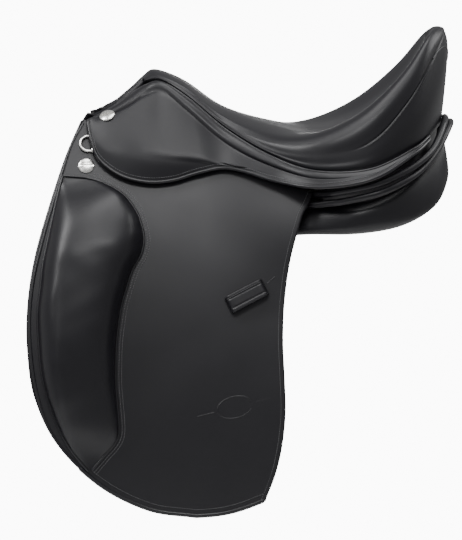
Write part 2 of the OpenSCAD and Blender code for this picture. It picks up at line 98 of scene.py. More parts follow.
# ---------------------------------------------------------------- guide curves of the skirt
SKIRT_TOP = [[-232, 57, 127], [-222, 52, 131], [-205, 45, 141], [-188, 39, 153], [-171, 34, 163],
    [-151, 41, 167], [-116, 56, 147], [-65, 77, 107], [-9, 115, 78], [46, 150, 64],
    [111, 155, 68], [164, 117, 89], [188, 80, 103]]
SKIRT_CREASE = [[-236, 62, 124.5], [-226, 63, 125], [-209, 62, 131], [-190, 60, 141], [-170, 54, 154],
    [-148, 57, 157], [-110, 74, 128], [-64, 92, 92], [-8, 123, 67], [47, 156, 56],
    [113, 160, 64], [165, 119, 87], [188, 81, 101]]
SKIRT_FOLD = [[-239, 66, 123.5], [-231, 72, 119], [-218, 77, 115], [-198, 84, 111], [-171, 93, 103],
    [-141, 100, 94], [-102, 104, 82], [-62, 108, 68]]
SKIRT_BELLY = [[-241, 70, 122.5], [-234, 83, 108], [-224, 94, 93], [-199, 101, 84], [-169, 108, 76],
    [-138, 110, 73], [-101, 107, 70], [-62, 108, 66]]
SKIRT_HEM = [[-242, 73, 121.5], [-237, 90, 98], [-227, 101, 75], [-201, 110, 56], [-168, 114, 48],
    [-135, 113, 50], [-100, 109, 60], [-62, 109, 65], [-6, 133, 51], [49, 162, 46],
    [115, 165, 58], [166, 122, 85], [188, 83, 99]]

# ---------------------------------------------------------------- outlines on the flap, [x, z]
FLAP_FRONT = [[-247, 119.5], [-263, 91], [-275, 54], [-296, -20], [-309, -80], [-311, -140], [-302, -205],
    [-279, -263], [-227, -316], [-165, -348], [-106, -357]]
FLAP_REAR = [[37, 35], [31, 21], [23, 5], [9, -46], [2, -95], [0, -142], [2, -190], [3, -230],
    [-1, -270], [-9, -305], [-21, -337]]
FLAP_FOLD_AXIS = [[-278, 56], [28, 6]]
BLOCK_FRONT = [[-273, 54], [-279, 31], [-284, 8], [-290, -22], [-296, -52], [-299, -82], [-302, -112],
    [-300, -148], [-297, -178], [-291, -206], [-282, -232], [-271, -257], [-258, -278], [-239, -301]]
BLOCK_REAR = [[-245, 52], [-226, 47], [-208, 39], [-195, 30], [-185, 18], [-177, 4], [-172, -13],
    [-171, -25], [-174, -39], [-181, -51], [-187, -64], [-192, -80], [-198, -100], [-201, -118],
    [-204, -142], [-205, -166], [-205, -196], [-203, -220], [-201, -245], [-202, -259], [-208, -270],
    [-218, -281], [-234, -300]]
# Across the block from its front edge to its rear seam: share of the width, share of the full height.
BLOCK_SECTION = [[0, 0], [0.05, 0.48], [0.17, 0.88], [0.36, 1], [0.62, 0.96], [0.84, 0.76], [0.96, 0.36],
    [1, 0]]
SWEAT_FRONT = [[-253, 112], [-270, 72], [-290, 10], [-305, -45], [-313, -100], [-313, -155],
    [-303, -215], [-272, -274], [-215, -318]]
SWEAT_REAR = [[20, 36], [10, 10], [0, -30], [-8, -75], [-12, -125], [-14, -175],
    [-20, -225], [-36, -272], [-70, -312]]

# ---------------------------------------------------------------- corner curves of the panel
PANEL_INNER_TOP = [[-238, 38, 108], [-192, 30, 116], [-130, 30, 98], [-60, 31, 72], [25, 32, 48],
    [90, 32, 44], [148, 32, 54], [188, 30, 78], [207, 28, 96]]
PANEL_OUTER_TOP = [[-244, 44, 104], [-195, 50, 92], [-130, 54, 84], [-60, 80, 54], [25, 108, 22],
    [90, 146, 20], [148, 128, 40], [186, 84, 68], [208, 48, 92]]
PANEL_OUTER_LOW = [[-256, 62, 62], [-215, 100, 4], [-150, 120, -32], [-60, 123, -35], [25, 128, -20],
    [90, 144, -18], [152, 128, -10], [198, 92, 14], [214, 54, 50]]
PANEL_INNER_LOW = [[-250, 52, 60], [-205, 64, 26], [-140, 56, 10], [-60, 46, 0], [25, 40, -5],
    [90, 38, -4], [148, 36, 8], [188, 34, 34], [208, 32, 66]]
UPPER_ROLL = [[33, 108, 31], [45, 124, 33.5], [58, 139, 36], [72, 150, 39], [113, 156, 48], [143, 141, 58],
    [172, 112, 72], [192, 80, 88], [206, 38, 112], [210, 0, 119]]
LOWER_ROLL = [[31, 116, 19], [44, 131, 21.5], [58, 142, 24.5], [78, 152, 28], [120, 155, 38], [152, 136, 50],
    [177, 106, 64], [197, 72, 84], [212, 36, 107], [217, 0, 114]]
HEAD_ROLL = [[-241, 67, 118], [-219, 47, 131.5], [-203, 39, 145], [-187, 33, 159], [-178, 27, 168],
    [-173, 0, 171.5]]

KEEPER_AT = [-43, -90]
KEEPER_TURN = 27
KEEPER_SIZE = [52, 19]
KEEPER_RISE = 7.5
MARK_AT = [-58, -223]
MARK_TURN = 14


# ================================================================ curves and skins
def along(points, stations, closes=True):
    """Points at the stations of the smooth curve through points. A guide curve that ends on the centre
    plane carries on as its own mirror image, so it ends square."""
    p = np.array(points, float)
    on_centre = closes and p.shape[1] == 3 and abs(p[-1][1]) < 1e-9
    after = p[-2] * (1, -1, 1) if on_centre else 2 * p[-1] - p[-2]
    p = np.vstack([2 * p[0] - p[1], p, after])
    u = np.asarray(stations, float)
    i = np.clip(np.floor(u).astype(int), 0, len(points) - 2)
    t = (u - i)[:, None]
    a, b, c, d = p[i], p[i + 1], p[i + 2], p[i + 3]
    return 0.5 * (2 * b + (c - a) * t + (2 * a - 5 * b + 4 * c - d) * t ** 2
        + (3 * b - a - 3 * c + d) * t ** 3)


def net(rows, us, vs):
    """Grid of points, us by vs, on the skin through several guide curves."""
    cross = np.stack([along(row, us) for row in rows]).reshape(len(rows), -1)
    return along(cross, vs, closes=False).reshape(len(vs), len(us), 3).transpose(1, 0, 2)


def smooth(t):
    """0 up to t = 0, 1 from t = 1, and an even S between."""
    s = np.clip(t, 0, 1)
    return s * s * (3 - 2 * s)


def unit(v):
    """The vectors v, each made one long."""
    return v / np.maximum(np.linalg.norm(v, axis=-1, keepdims=True), 1e-9)


def grid_normals(grid):
    """Outward normals of a grid whose rows run rearwards and whose columns run out and down."""
    return unit(np.cross(np.gradient(grid, axis=0), np.gradient(grid, axis=1)))


def flap_w(x, z):
    """Half-width of the flap's outer face."""
    k = (FOOT_W - HEAD_W) / (HEAD_Z - FOOT_Z) ** 2
    return FOOT_W - k * (z - FOOT_Z) ** 2 + FLARE * smooth((x + 100) / 130) * smooth((z + 120) / 140)


def on_flap(xz, rise=0.0):
    """Points on the flap's outer face at [x, z], raised by rise along its normal, and the normals."""
    x, z = np.asarray(xz, float)[..., 0], np.asarray(xz, float)[..., 1]
    e = 0.5
    slope_x = (flap_w(x + e, z) - flap_w(x - e, z)) / (2 * e)
    slope_z = (flap_w(x, z + e) - flap_w(x, z - e)) / (2 * e)
    normal = unit(np.stack([-slope_x, np.ones_like(x), -slope_z], -1))
    point = np.stack([x, flap_w(x, z), z], -1)
    return point + normal * np.asarray(rise)[..., None], normal


def even(path, pitch=STEP):
    """The path's points again, spaced evenly at about pitch."""
    path = np.asarray(path, float)
    reach = np.concatenate([[0], np.cumsum(np.linalg.norm(np.diff(path, axis=0), axis=1))])
    marks = np.linspace(0, reach[-1], max(2, int(round(reach[-1] / pitch)) + 1))
    return np.stack([np.interp(marks, reach, path[:, k]) for k in range(path.shape[1])], -1)


def inset(outline, distance):
    """A flat outline moved sideways: to its left when distance is positive."""
    t = unit(np.gradient(np.asarray(outline, float), axis=0))
    return outline + distance * np.stack([-t[:, 1], t[:, 0]], -1)


def turned(x, y, at, degrees):
    """Local x and y turned and moved to a place on the flap, as [x, z]."""
    turn = math.radians(degrees)
    return np.stack([at[0] + x * math.cos(turn) - y * math.sin(turn),
        at[1] + x * math.sin(turn) + y * math.cos(turn)], -1)


def wobble(points, size, seed=0.0):
    """A smooth value between -1 and 1 at each point, that changes over about size."""
    p = np.asarray(points, float) * (2 * math.pi / size)
    x, y, z = p[..., 0], p[..., 1], p[..., 2]
    return (np.sin(x + 1.7 * np.sin(0.6 * z + seed)) * np.cos(0.8 * z + seed)
        + np.sin(0.7 * y + 1.3 * np.cos(0.5 * x + seed))) / 2


# ================================================================ mesh building
class Piece:
    """Collects grids, tubes and stitches, given with w outwards, into one mesh on one side."""

    def __init__(self, side):
        self.side = side
        self.points = []
        self.faces = []
        self.slots = []
        self.count = 0

    def add(self, points, faces, slot=OWN):
        points = np.asarray(points, float).reshape(-1, 3)
        self.points.append(points * (1, self.side, 1))
        self.faces += [[self.count + i for i in (f if self.side > 0 else f[::-1])] for f in faces]
        self.slots += [slot] * len(faces)
        self.count += len(points)

    def plate(self, grid, thickness, normals=None, flip=False, rim=4):
        """A thick leather sheet with a rounded edge. The grid is its outer face."""
        m, n = grid.shape[:2]
        normals = grid_normals(grid) * (-1 if flip else 1) if normals is None else normals
        inner = grid - normals * thickness
        order = ([(i, 0) for i in range(m)] + [(m - 1, j) for j in range(1, n)]
            + [(i, n - 1) for i in range(m - 2, -1, -1)] + [(0, j) for j in range(n - 2, 0, -1)])
        a = np.array([p[0] for p in order])
        b = np.array([p[1] for p in order])
        out_i = np.where(a == 0, -1, np.where(a == m - 1, 1, 0))
        out_j = np.where(b == 0, -1, np.where(b == n - 1, 1, 0))
        away = np.zeros((len(order), 3))
        for k, (i, j) in enumerate(order):
            if out_i[k]:
                away[k] += unit(grid[i, j] - grid[i - out_i[k], j])
            if out_j[k]:
                away[k] += unit(grid[i, j] - grid[i, j - out_j[k]])
        away = unit(away)
        top, low = grid[a, b], inner[a, b]
        middle = (top + low) / 2
        points = [grid.reshape(-1, 3), inner.reshape(-1, 3)]
        for r in range(1, rim):
            turn = math.pi * r / rim
            points.append(middle + (top - middle) * math.cos(turn)
                + away * math.sin(turn) * thickness / 2)
        index = lambda i, j: i * n + j
        size = m * n
        faces = []
        for i in range(m - 1):
            for j in range(n - 1):
                quad = [index(i, j), index(i + 1, j), index(i + 1, j + 1), index(i, j + 1)]
                faces.append(quad[::-1] if flip else quad)
                under = [size + q for q in quad]
                faces.append(under if flip else under[::-1])
        loops = [[index(i, j) for i, j in order]]
        loops += [[2 * size + (r - 1) * len(order) + k for k in range(len(order))] for r in range(1, rim)]
        loops.append([size + index(i, j) for i, j in order])
        for upper, lower in zip(loops, loops[1:]):
            for k in range(len(order)):
                nxt = (k + 1) % len(order)
                wall = [upper[nxt], upper[k], lower[k], lower[nxt]]
                faces.append(wall[::-1] if flip else wall)
        self.add(np.vstack(points), faces)

    def tube(self, path, radius, slot=ROLLED, sides=10):
        """A round tube along a path, with rounded ends."""
        path = np.asarray(path, float)
        radius = np.full(len(path), float(radius))
        radius[[0, -1]] *= 0.55
        t = unit(np.gradient(path, axis=0))
        across = unit(np.cross(t, TUBE_SIDEWAYS))
        up = unit(np.cross(across, t))
        turn = np.linspace(0, 2 * math.pi, sides, endpoint=False)
        rings = path[:, None] + radius[:, None, None] * (
            np.cos(turn)[None, :, None] * across[:, None] + np.sin(turn)[None, :, None] * up[:, None])
        count = len(path)
        faces = []
        for i in range(count - 1):
            for j in range(sides):
                q = (j + 1) % sides
                faces.append([i * sides + j, i * sides + q, (i + 1) * sides + q, (i + 1) * sides + j])
        tips = [path[0] - t[0] * radius[0] * 0.7, path[-1] + t[-1] * radius[-1] * 0.7]
        first, last = count * sides, (count - 1) * sides
        for j in range(sides):
            q = (j + 1) % sides
            faces.append([first, q, j])
            faces.append([first + 1, last + j, last + q])
        self.add(np.vstack([rings.reshape(-1, 3), tips]), faces, slot)

    def stitches(self, path, normals, pitch, radius, slot=SEWN):
        """A row of short threads along a path, each sunk a little at its ends."""
        path = np.asarray(path, float)
        both = even(np.hstack([path, np.asarray(normals, float) * 0.001]), pitch)
        if len(both) < 3:
            return
        point, normal = both[:, :3], unit(both[:, 3:])
        t = unit(np.gradient(point, axis=0))
        side = unit(np.cross(normal, t))
        half = pitch * 0.4
        for k in range(len(point)):
            lean = unit(t[k] + 0.12 * side[k])
            rings = []
            for reach, lift, r in THREAD_RINGS:
                c = point[k] + lean * half * reach + normal[k] * radius * lift
                rings.append([c + r * radius * (math.cos(a) * side[k] + math.sin(a) * normal[k])
                    for a in (0, 1.26, 2.51, 3.77, 5.03)])
            faces = [[i * 5 + j, i * 5 + (j + 1) % 5, (i + 1) * 5 + (j + 1) % 5, (i + 1) * 5 + j]
                for i in range(3) for j in range(5)]
            faces += [[4, 3, 2, 1, 0], [15, 16, 17, 18, 19]]
            self.add(np.array(rings), faces, slot)

    def build(self, name, materials, sharp=50):
        mesh = bpy.data.meshes.new(name)
        mesh.from_pydata((np.vstack(self.points) * MM).tolist(), [], self.faces)
        for material in materials:
            mesh.materials.append(material)
        mesh.polygons.foreach_set("material_index", self.slots)
        mesh.polygons.foreach_set("use_smooth", [True] * len(mesh.polygons))
        mesh.update()
        mesh.set_sharp_from_angle(angle=math.radians(sharp))
        obj = bpy.data.objects.new(name, mesh)
        bpy.context.scene.collection.objects.link(obj)
        return obj


def finished(obj, body, slot, *nodes, padded=None):
    """Hands a piece over to the frame: its body and the CAD nodes it stands for. The material slot is not
    used.
    """
    if body:
        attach(obj, body)
    if nodes:
        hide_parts(*nodes)


def settled(obj, levels):
    """The object with its subdivision surface applied."""
    modifier = obj.modifiers.new("round", "SUBSURF")
    modifier.levels = levels
    modifier.render_levels = levels
    graph = bpy.context.evaluated_depsgraph_get()
    mesh = bpy.data.meshes.new_from_object(obj.evaluated_get(graph))
    obj.modifiers.clear()
    obj.data = mesh
    mesh.polygons.foreach_set("use_smooth", [True] * len(mesh.polygons))
    return obj


# ================================================================ materials
def shader(name, roughness, **values):
    """A new material, its node tree, its principled shader and object coordinates."""
    material = bpy.data.materials.new(name)
    material.use_nodes = True
    tree = material.node_tree
    bsdf = tree.nodes["Principled BSDF"]
    bsdf.inputs["Roughness"].default_value = roughness
    for key, value in values.items():
        bsdf.inputs[key.replace("_", " ")].default_value = value
    place = tree.nodes.new("ShaderNodeTexCoord").outputs["Object"]
    return material, tree, bsdf, place


def noise(tree, place, scale, detail=3.0, roughness=0.55):
    """Grey noise over object coordinates; a larger scale makes it finer."""
    node = tree.nodes.new("ShaderNodeTexNoise")
    node.inputs["Scale"].default_value = scale
    node.inputs["Detail"].default_value = detail
    node.inputs["Roughness"].default_value = roughness
    tree.links.new(place, node.inputs["Vector"])
    return node.outputs["Fac"]


def ramp(tree, value, low, high, start=0.3, stop=0.7):
    """Colours or greys from low to high as the value goes from start to stop."""
    node = tree.nodes.new("ShaderNodeValToRGB")
    node.color_ramp.elements[0].position = start
    node.color_ramp.elements[1].position = stop
    node.color_ramp.elements[0].color = low if hasattr(low, "__len__") else (low, low, low, 1)
    node.color_ramp.elements[1].color = high if hasattr(high, "__len__") else (high, high, high, 1)
    tree.links.new(value, node.inputs["Fac"])
    return node.outputs["Color"]


def bump(tree, bsdf, heights):
    """Chains bumps of (height, strength, distance) on to the shader's normal."""
    before = None
    for height, strength, distance in heights:
        node = tree.nodes.new("ShaderNodeBump")
        node.inputs["Strength"].default_value = strength
        node.inputs["Distance"].default_value = distance
        tree.links.new(height, node.inputs["Height"])
        if before:
            tree.links.new(before, node.inputs["Normal"])
        before = node.outputs["Normal"]
    tree.links.new(before, bsdf.inputs["Normal"])


def leather(name, dark, light, rough=(0.4, 0.46), grain=0.16, shine=0.5):
    """Calf leather: fine pores and faint folds, an even dyed colour and a soft satin."""
    material, tree, bsdf, place = shader(name, 0.42, Specular_IOR_Level=shine)
    colour = ramp(tree, noise(tree, place, 7.0, 2.0), (*dark, 1), (*light, 1), 0.3, 0.7)
    tree.links.new(colour, bsdf.inputs["Base Color"])
    polish = noise(tree, place, 11.0, 2.0)
    tree.links.new(ramp(tree, polish, rough[0], rough[1], 0.3, 0.7), bsdf.inputs["Roughness"])
    cells = tree.nodes.new("ShaderNodeTexVoronoi")
    cells.feature = "SMOOTH_F1"
    cells.inputs["Scale"].default_value = 1500.0
    cells.inputs["Smoothness"].default_value = 0.4
    tree.links.new(place, cells.inputs["Vector"])
    folds = noise(tree, place, 420.0, 4.0, 0.6)
    bump(tree, bsdf, [(cells.outputs["Distance"], grain, 0.0001), (folds, grain, 0.00012)])
    return material


def metal(name, colour, rough, scratch):
    """Metal with a fine haze in its polish."""
    material, tree, bsdf, place = shader(name, rough, Metallic=1.0)
    bsdf.inputs["Base Color"].default_value = (*colour, 1)
    haze = noise(tree, place, 420.0, 6.0, 0.7)
    tree.links.new(ramp(tree, haze, rough * 0.7, rough * 1.5), bsdf.inputs["Roughness"])
    bump(tree, bsdf, [(haze, scratch, 0.0001)])
    return material


def beech(name):
    """Laminated beech under black varnish."""
    material, tree, bsdf, place = shader(name, 0.45)
    stretch = tree.nodes.new("ShaderNodeMapping")
    stretch.inputs["Scale"].default_value = (8, 90, 90)
    tree.links.new(place, stretch.inputs["Vector"])
    rings = noise(tree, stretch.outputs["Vector"], 3.0, 8.0, 0.65)
    colour = ramp(tree, rings, (0.011, 0.009, 0.008, 1), (0.02, 0.015, 0.012, 1))
    tree.links.new(colour, bsdf.inputs["Base Color"])
    bump(tree, bsdf, [(rings, 0.2, 0.0004)])
    return material


def woven(name, dark, light, scale=900.0):
    """Webbing or thread: two crossing sets of waves, the higher of the two on top."""
    material, tree, bsdf, place = shader(name, 0.85)
    weave = None
    for direction in ("X", "Z"):
        wave = tree.nodes.new("ShaderNodeTexWave")
        wave.bands_direction = direction
        wave.inputs["Scale"].default_value = scale / 6
        wave.inputs["Distortion"].default_value = 0.6
        tree.links.new(place, wave.inputs["Vector"])
        if weave:
            mix = tree.nodes.new("ShaderNodeMath")
            mix.operation = "MAXIMUM"
            tree.links.new(weave, mix.inputs[0])
            tree.links.new(wave.outputs["Fac"], mix.inputs[1])
            weave = mix.outputs["Value"]
        else:
            weave = wave.outputs["Fac"]
    tree.links.new(ramp(tree, weave, (*dark, 1), (*light, 1)), bsdf.inputs["Base Color"])
    bump(tree, bsdf, [(weave, 0.4, 0.0004)])
    return material


def foam(name):
    """Dark rubber foam with open cells."""
    material, tree, bsdf, place = shader(name, 0.9)
    cells = noise(tree, place, 700.0, 4.0)
    colour = ramp(tree, cells, (0.02, 0.02, 0.021, 1), (0.04, 0.04, 0.042, 1))
    tree.links.new(colour, bsdf.inputs["Base Color"])
    bump(tree, bsdf, [(cells, 0.5, 0.0006)])
    return material


CALF = leather("black_calf", (0.006, 0.0057, 0.0082), (0.0073, 0.007, 0.0096))
SOFT = leather("black_soft_calf", (0.0054, 0.0051, 0.0076), (0.0066, 0.0063, 0.0088),
    rough=(0.36, 0.42), shine=0.42)
EDGE = leather("black_rolled_edge", (0.0068, 0.0065, 0.0088), (0.0088, 0.0085, 0.011),
    rough=(0.3, 0.36), grain=0.1)
STRAP = leather("strap_leather", (0.012, 0.011, 0.0105), (0.018, 0.0165, 0.015),
    rough=(0.42, 0.52), grain=0.3)
THREAD = woven("black_thread", (0.05, 0.05, 0.054), (0.14, 0.14, 0.145), 3000.0)
NICKEL = metal("polished_nickel", (0.93, 0.92, 0.89), 0.24, 0.02)
STEEL = metal("plain_steel", (0.55, 0.55, 0.56), 0.34, 0.15)
BEECH = beech("laminated_beech")
WEB = woven("dark_web", (0.05, 0.045, 0.036), (0.11, 0.1, 0.085))
FOAM = foam("seat_foam_rubber")
LEATHERS = [CALF, THREAD, EDGE]
PADDED = [SOFT, THREAD, EDGE]


# ================================================================ seat
def relaxed(grid, rounds):
    """The grid with small ripples smoothed out. Its border stays, and so does the centre plane."""
    for _ in range(rounds):
        mirrored = np.concatenate([grid[:, 1:2] * (1, -1, 1), grid], axis=1)
        across = (mirrored[:, :-2] + mirrored[:, 2:]) / 2
        lengthways = (grid[:-2] + grid[2:]) / 2
        grid = grid.copy()
        grid[1:-1, :-1] = (grid[1:-1, :-1] * 2 + across[1:-1] + lengthways[:, :-1]) / 4
    return grid


def seam_on_seat(us, vs):
    """Points and normals on the seat along paired stations."""
    fine = 0.02
    at = lambda u, v: net(SEAT_NET, [u], [v])[0, 0]
    here = np.stack([at(u, v) for u, v in zip(us, vs)])
    ahead = np.stack([at(min(u + fine, 9), v) - at(u - fine, v) for u, v in zip(us, vs)])
    across = np.stack([at(u, v + fine) - at(u, v - fine) for u, v in zip(us, vs)])
    return here, unit(np.cross(ahead, across))


def build_seat():
    """The seat and its facings: one half and its mirror image, joined on the centre plane."""
    us = np.linspace(0, 9, 127)
    vs = np.linspace(0, 7, 141)
    half = relaxed(net(SEAT_NET, us, vs), 14)
    normals = grid_normals(half)
    normals[:, 0, 1] = 0
    normals[-1, :, 1] = 0
    normals = unit(normals)
    # The facing's seam is pressed in along SIDE_LINE, at v = 4, from the seat's widest part rearwards.
    late = smooth((us - 5.6) / 0.8) * smooth((9.15 - us) / 0.5)
    seam = -1.5 * np.exp(-((vs - 4) / 0.05) ** 2)
    half = half + normals * (late[:, None] * seam[None, :])[..., None]
    half[-1, :, 1] = 0
    half[:, 0, 1] = 0
    inner = half - normals * SEAT_T
    inner[-1, :, 1] = 0
    m, n = half.shape[:2]
    size = m * n
    index = lambda i, j: i * n + j
    faces = []
    for i in range(m - 1):
        for j in range(n - 1):
            quad = [index(i, j), index(i + 1, j), index(i + 1, j + 1), index(i, j + 1)]
            faces += [quad, [size + q for q in quad[::-1]]]
    for i in range(m - 1):
        a, b = index(i, n - 1), index(i + 1, n - 1)
        faces.append([a, size + a, size + b, b])
    for j in range(n - 1):
        a, b = index(0, j), index(0, j + 1)
        faces.append([size + b, size + a, a, b])
    merged = Piece(1)
    for side in (-1, 1):
        piece = Piece(side)
        piece.add(np.vstack([half.reshape(-1, 3), inner.reshape(-1, 3)]), faces)
        run = np.linspace(6.0, 9, 90)
        point, normal = seam_on_seat(run, np.full(90, 4.12))
        piece.stitches(point + normal * 0.05, normal, 3.2, 0.36, OWN)
        # Piping leaves the seam and turns down to the middle of the cantle: stations [u, v] on the net.
        bend = along([[8.0, 4.0], [8.2, 4.06], [8.45, 4.26], [8.65, 4.55], [8.82, 4.85], [9, 5.15]],
            np.linspace(0, 5, 50))
        point, normal = seam_on_seat(bend[:, 0], bend[:, 1])
        piece.tube(point - normal * 0.5, 1.1, sides=8)
        backing = net([TUCK_LINE, BACK_LINE], np.linspace(5.1, 9, 60), np.linspace(0, 1, 8))
        piece.plate(backing, 2.0)
        merged.points += piece.points
        merged.faces += [[merged.count + i for i in f] for f in piece.faces]
        merged.slots += piece.slots
        merged.count += piece.count
    obj = merged.build("seat_leather", PADDED)
    mesh = bmesh.new()
    mesh.from_mesh(obj.data)
    middle = [v for v in mesh.verts if abs(v.co.y) < 1e-5]
    bmesh.ops.remove_doubles(mesh, verts=middle, dist=1e-5)
    mesh.to_mesh(obj.data)
    mesh.free()
    finished(obj, "saddle", "black_leather",
        "seat_cover", "seat_facing_left", "seat_facing_right", padded=0.8)


def build_head_roll():
    """The piped roll round the front of the pommel."""
    half = along(HEAD_ROLL, np.linspace(0, 5, 90))
    whole = np.vstack([half * (1, -1, 1), half[-2::-1]])
    piece = Piece(1)
    piece.tube(whole + np.array([1.5, 0, -4.0]), 4.2, OWN, 16)
    piece.tube(whole + np.array([1.5, 0, -0.5]), 1.8)
    obj = piece.build("pommel_roll_leather", PADDED)
    finished(obj, "saddle", "black_leather", "pommel_roll", padded=0.8)


# ================================================================ skirts
def skirt_rows():
    """The skirt's guide curves at full length: behind the wing, the fold and belly lie evenly between."""
    crease = np.array(SKIRT_CREASE, float)
    hem = np.array(SKIRT_HEM, float)
    fold = crease + (hem - crease) * 0.36
    belly = crease + (hem - crease) * 0.7
    fold[:len(SKIRT_FOLD)] = SKIRT_FOLD
    belly[:len(SKIRT_BELLY)] = SKIRT_BELLY
    return [SKIRT_TOP, crease, fold, belly, hem]


def build_skirt(name, side):
    us = np.linspace(0, 12, 145)
    vs = np.linspace(0, 4, 65)
    grid = net(skirt_rows(), us, vs)
    normals = grid_normals(grid)
    # A soft roll along the top, from v = 0 to the crease at v = 1, that fades out at both ends.
    fade = smooth(us / 1.2) * smooth((10.2 - us) / 2.5)
    roll = 2.4 * np.sin(math.pi * np.clip(vs, 0, 1)) ** 0.8 * (vs <= 1)
    groove = -1.3 * np.exp(-((vs - 1) / 0.07) ** 2)
    shape = (roll + groove)[None, :] * fade[:, None] + 0.35 * wobble(grid, 90)
    grid = grid + normals * (shape + 0.2)[..., None]
    piece = Piece(side)
    piece.plate(grid, SKIRT_T, normals, rim=5)
    hem = grid[:, -1] - normals[:, -1] * SKIRT_T * 0.35
    piece.tube(even(hem), 2.3)
    top = grid[:, 0] - normals[:, 0] * 0.8
    piece.tube(even(top[8:]), 1.9, sides=8)
    # Stitches at one distance from the hem; where the skirt is too narrow for them there are none.
    row, row_normals = [], []
    for i in range(2, len(us)):
        upwards = grid[i, ::-1]
        reach = np.concatenate([[0], np.cumsum(np.linalg.norm(np.diff(upwards, axis=0), axis=1))])
        if reach[-1] > 2 * SKIRT_STITCH_IN:
            row.append([np.interp(SKIRT_STITCH_IN, reach, upwards[:, k]) for k in range(3)])
            row_normals.append(normals[i, -3])
    piece.stitches(np.array(row) + np.array(row_normals) * 0.25, row_normals, 3.0, 0.4)
    obj = piece.build("skirt_leather_" + name, PADDED)
    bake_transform(obj)
    finished(obj, None, "black_leather", "skirt_band_" + name, "skirt_" + name, padded=0.4)


# ================================================================ flaps
def flap_grid(front, rear, rows, cols):
    """Flat points between a front and a rear outline: rows down the flap, cols across it."""
    u = np.linspace(0, len(front) - 1, rows)
    a, b = along(front, u), along(rear, u)
    t = np.linspace(0, 1, cols)[None, :, None]
    return a[:, None] * (1 - t) + b[:, None] * t


def build_flap(name, side):
    piece = Piece(side)
    flat = flap_grid(FLAP_FRONT, FLAP_REAR, 150, 80)
    # The bottom edge bows down by 5 mm.
    sag = smooth(np.linspace(-4, 1, 150))[:, None] * np.sin(np.linspace(0, math.pi, 80))[None, :]
    flat[..., 1] -= 5 * sag
    points, normals = on_flap(flat)
    points = points + normals * (0.4 * wobble(points, 150, 1.0))[..., None]
    piece.plate(points, FLAP_T, normals, flip=True, rim=5)
    u = np.linspace(0, 10, 400)
    front = even(along(FLAP_FRONT, u))
    rear = even(along(FLAP_REAR, u))
    bottom = even(np.vstack([along(FLAP_FRONT, np.linspace(7.6, 10, 120))[:-1], flat[-1]]))
    piece.tube(on_flap(front, -1.2)[0], 2.1)
    piece.tube(on_flap(bottom, -1.6)[0], 3.0)
    seam = even(along(BLOCK_REAR, np.linspace(0, len(BLOCK_REAR) - 1, 400)))
    # Rows of stitches: the line each follows, how far inside it, the pitch and the thread's radius.
    for line, distance, pitch, radius in ((rear, -4.0, 3.0, 0.36), (bottom, 8.0, 3.0, 0.36),
            (seam, 4.0, 3.4, 0.5), (seam, 7.4, 3.4, 0.5)):
        piece.stitches(*on_flap(even(inset(line, distance)), 0.15), pitch, radius)
    # A plain pressed oval and two bars, low on the flap.
    around = np.linspace(0, 2 * math.pi, 80)
    shapes = [(22 * np.cos(around), 13 * np.sin(around))]
    shapes += [(np.linspace(*span, 20), np.zeros(20)) for span in ((-48, -26), (26, 48))]
    for x, y in shapes:
        piece.tube(on_flap(turned(x, y, MARK_AT, MARK_TURN), -0.45)[0], 0.8, OWN, 8)
    obj = piece.build("flap_leather_" + name, LEATHERS)
    a, b = (on_flap(np.array([p]))[0][0] * (1, side, 1) for p in FLAP_FOLD_AXIS)
    along_axis = unit(b - a)
    # Down the flap, square to its fold.
    out = unit(np.cross(along_axis, [0, 0, 1])) * side
    down = unit(np.cross(along_axis, out))
    down = down * -np.sign(down[2])
    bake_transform(obj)
    finished(obj, None, "black_leather", "flap_top_" + name, "flap_" + name)


